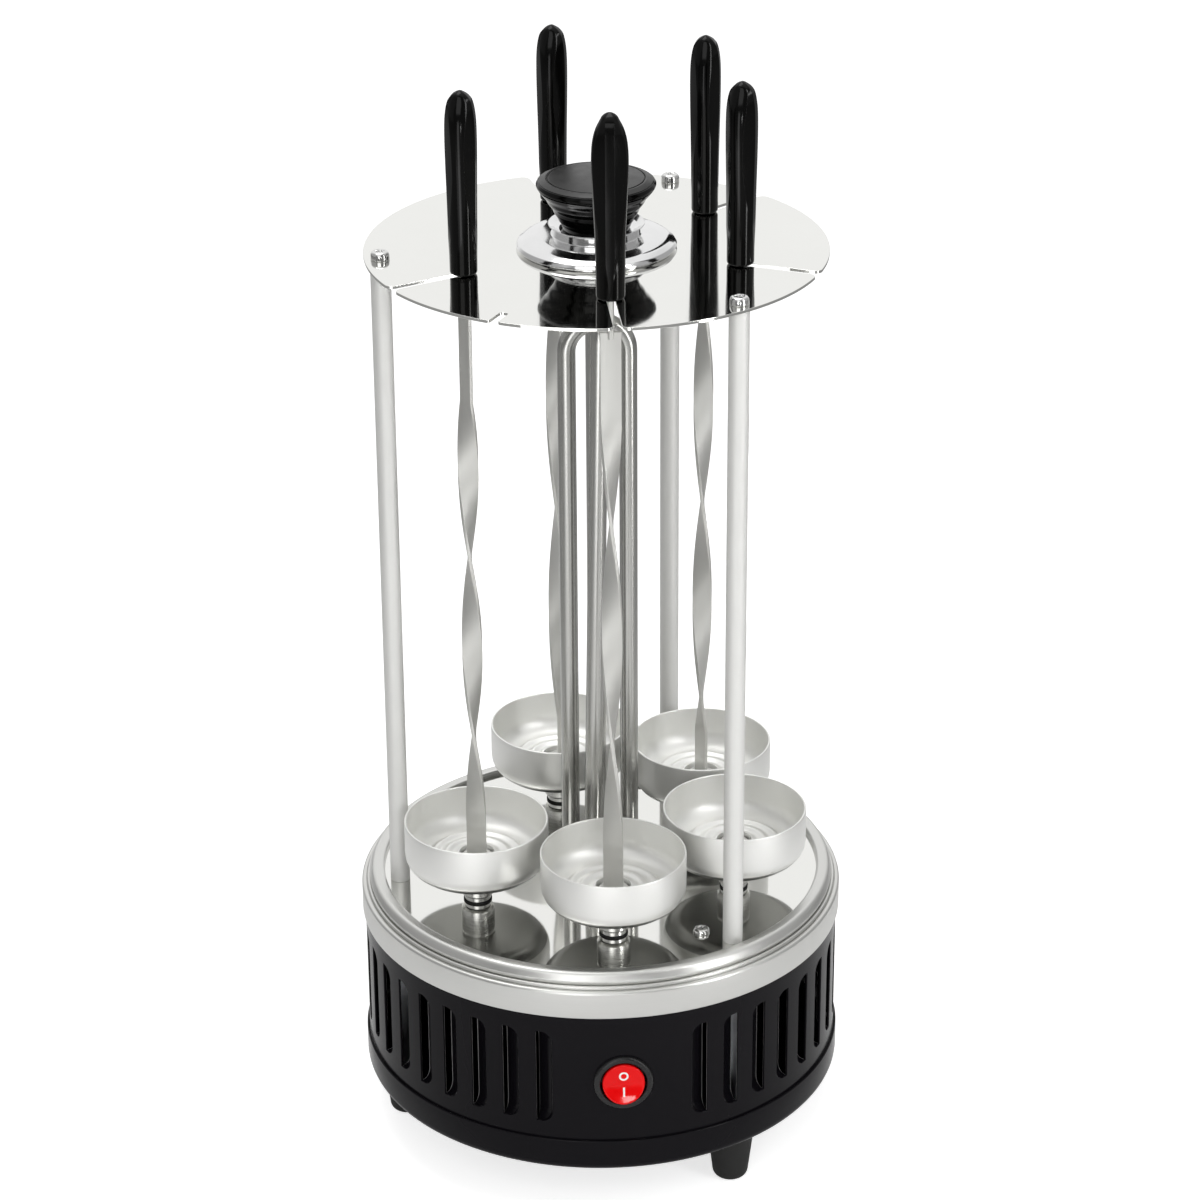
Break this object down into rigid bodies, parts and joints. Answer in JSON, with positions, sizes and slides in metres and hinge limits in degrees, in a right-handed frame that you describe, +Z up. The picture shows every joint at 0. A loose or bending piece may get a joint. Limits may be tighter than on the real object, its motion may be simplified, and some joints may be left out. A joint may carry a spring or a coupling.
{
  "type": "vertical rotisserie grill",
  "caption": "Upright electric skewer grill: a vented drum base turns twisted skewers over drip cups round a bare hairpin heater, between columns under a slotted mirror plate with a knob.",
  "frame": {"origin": "on the ground, on the axis of the drum", "axes": "+Z up along the drum axis, -Y towards the switch"},
  "size_m": [0.2, 0.2063, 0.4567],
  "materials": {
    "black_enamel": "satin black enamel",
    "black_rubber": "matt black rubber",
    "satin_steel": "satin stainless steel",
    "mirror_steel": "mirror polished stainless steel",
    "chrome": "bright chrome",
    "bright_screws": "bright plated steel",
    "satin_aluminium": "satin aluminium",
    "polished_spindle": "turned and polished",
    "black_bakelite": "gloss black moulding",
    "blade_steel": "lengthwise ground steel",
    "heater_steel": "drawn heater sheath",
    "zinc_steel": "zinc plated",
    "nylon": "natural nylon",
    "ceramic": "white steatite",
    "brass": "turned brass",
    "switch_black": "black switch body",
    "switch_red": "red translucent rocker",
    "wire_grey": "heat resistant sleeve"
  },
  "bodies": {
    "root": {"base_pan": "black_enamel", "base_shell": "black_enamel", "feet": "black_rubber", "shaft_seals": "black_rubber", "cord_gland": "black_rubber", "rim_ring": "satin_steel", "heater_flange": "satin_steel", "deck_plate": "mirror_steel", "top_plate": "mirror_steel", "knob_dish": "chrome", "deck_screws": "bright_screws", "column_screws": "bright_screws", "knob_screw": "bright_screws", "columns": "satin_aluminium", "knob": "black_bakelite", "heater_loop_low": "heater_steel", "heater_loop_high": "heater_steel", "foot_screws": "zinc_steel", "posts": "zinc_steel", "spacers": "zinc_steel", "gear_plate": "zinc_steel", "heater_hub": "zinc_steel", "motor_body": "zinc_steel", "motor_screws": "zinc_steel", "heater_insulators": "ceramic", "terminal_block": "ceramic", "spindle_bushes": "brass", "heater_terminals": "brass", "switch_housing": "switch_black", "wiring": "wire_grey"},
    "sun": {"sun_gear": "nylon"},
    "pinion": {"motor_rotor": "zinc_steel", "motor_shaft": "satin_steel", "motor_pinion": "nylon"},
    "rocker": {"rocker": "switch_red"},
    "station_1": {"spindle_1": "polished_spindle", "spindle_gear_1": "nylon", "drip_cup_1": "satin_aluminium"},
    "skewer_1": {"skewer_blade_1": "blade_steel", "skewer_handle_1": "black_bakelite"},
    "station_2": {"spindle_2": "polished_spindle", "spindle_gear_2": "nylon", "drip_cup_2": "satin_aluminium"},
    "skewer_2": {"skewer_blade_2": "blade_steel", "skewer_handle_2": "black_bakelite"},
    "station_3": {"spindle_3": "polished_spindle", "spindle_gear_3": "nylon", "drip_cup_3": "satin_aluminium"},
    "skewer_3": {"skewer_blade_3": "blade_steel", "skewer_handle_3": "black_bakelite"},
    "station_4": {"spindle_4": "polished_spindle", "spindle_gear_4": "nylon", "drip_cup_4": "satin_aluminium"},
    "skewer_4": {"skewer_blade_4": "blade_steel", "skewer_handle_4": "black_bakelite"},
    "station_5": {"spindle_5": "polished_spindle", "spindle_gear_5": "nylon", "drip_cup_5": "satin_aluminium"},
    "skewer_5": {"skewer_blade_5": "blade_steel", "skewer_handle_5": "black_bakelite"}
  },
  "joints": [
    {"name": "sun_spin", "type": "hinge", "parent": "root", "child": "sun", "pos_m": [0, 0, 0.093], "axis": [0, 0, 1], "continuous": true},
    {"name": "station_1_spin", "type": "hinge", "parent": "root", "child": "station_1", "pos_m": [-0.05303, -0.02586, 0.093], "axis": [0, 0, 1], "continuous": true},
    {"name": "skewer_1_lift", "type": "slide", "parent": "station_1", "child": "skewer_1", "axis": [0, 0, 1], "range_m": [0, 0.01]},
    {"name": "station_2_spin", "type": "hinge", "parent": "root", "child": "station_2", "pos_m": [0, -0.059, 0.093], "axis": [0, 0, 1], "continuous": true},
    {"name": "skewer_2_lift", "type": "slide", "parent": "station_2", "child": "skewer_2", "axis": [0, 0, 1], "range_m": [0, 0.01]},
    {"name": "station_3_spin", "type": "hinge", "parent": "root", "child": "station_3", "pos_m": [0.05303, -0.02586, 0.093], "axis": [0, 0, 1], "continuous": true},
    {"name": "skewer_3_lift", "type": "slide", "parent": "station_3", "child": "skewer_3", "axis": [0, 0, 1], "range_m": [0, 0.01]},
    {"name": "station_4_spin", "type": "hinge", "parent": "root", "child": "station_4", "pos_m": [0.04649, 0.03632, 0.093], "axis": [0, 0, 1], "continuous": true},
    {"name": "skewer_4_lift", "type": "slide", "parent": "station_4", "child": "skewer_4", "axis": [0, 0, 1], "range_m": [0, 0.01]},
    {"name": "station_5_spin", "type": "hinge", "parent": "root", "child": "station_5", "pos_m": [-0.01227, 0.05771, 0.093], "axis": [0, 0, 1], "continuous": true},
    {"name": "skewer_5_lift", "type": "slide", "parent": "station_5", "child": "skewer_5", "axis": [0, 0, 1], "range_m": [0, 0.01]},
    {"name": "pinion_spin", "type": "hinge", "parent": "root", "child": "pinion", "pos_m": [-0.05303, 0.02586, 0.093], "axis": [0, 0, 1], "continuous": true},
    {"name": "rocker_tilt", "type": "hinge", "parent": "root", "child": "rocker", "pos_m": [0, -0.1002, 0.066], "axis": [1, 0, 0], "range_deg": [0, 18]}
  ],
  "couplings": [
    {"joint": "station_1_spin", "follows": "sun_spin", "ratio": -2.1053},
    {"joint": "station_2_spin", "follows": "sun_spin", "ratio": -2.1053},
    {"joint": "station_3_spin", "follows": "sun_spin", "ratio": -2.1053},
    {"joint": "station_4_spin", "follows": "sun_spin", "ratio": -2.1053},
    {"joint": "station_5_spin", "follows": "sun_spin", "ratio": -2.1053},
    {"joint": "pinion_spin", "follows": "sun_spin", "ratio": -2.1053}
  ]
}
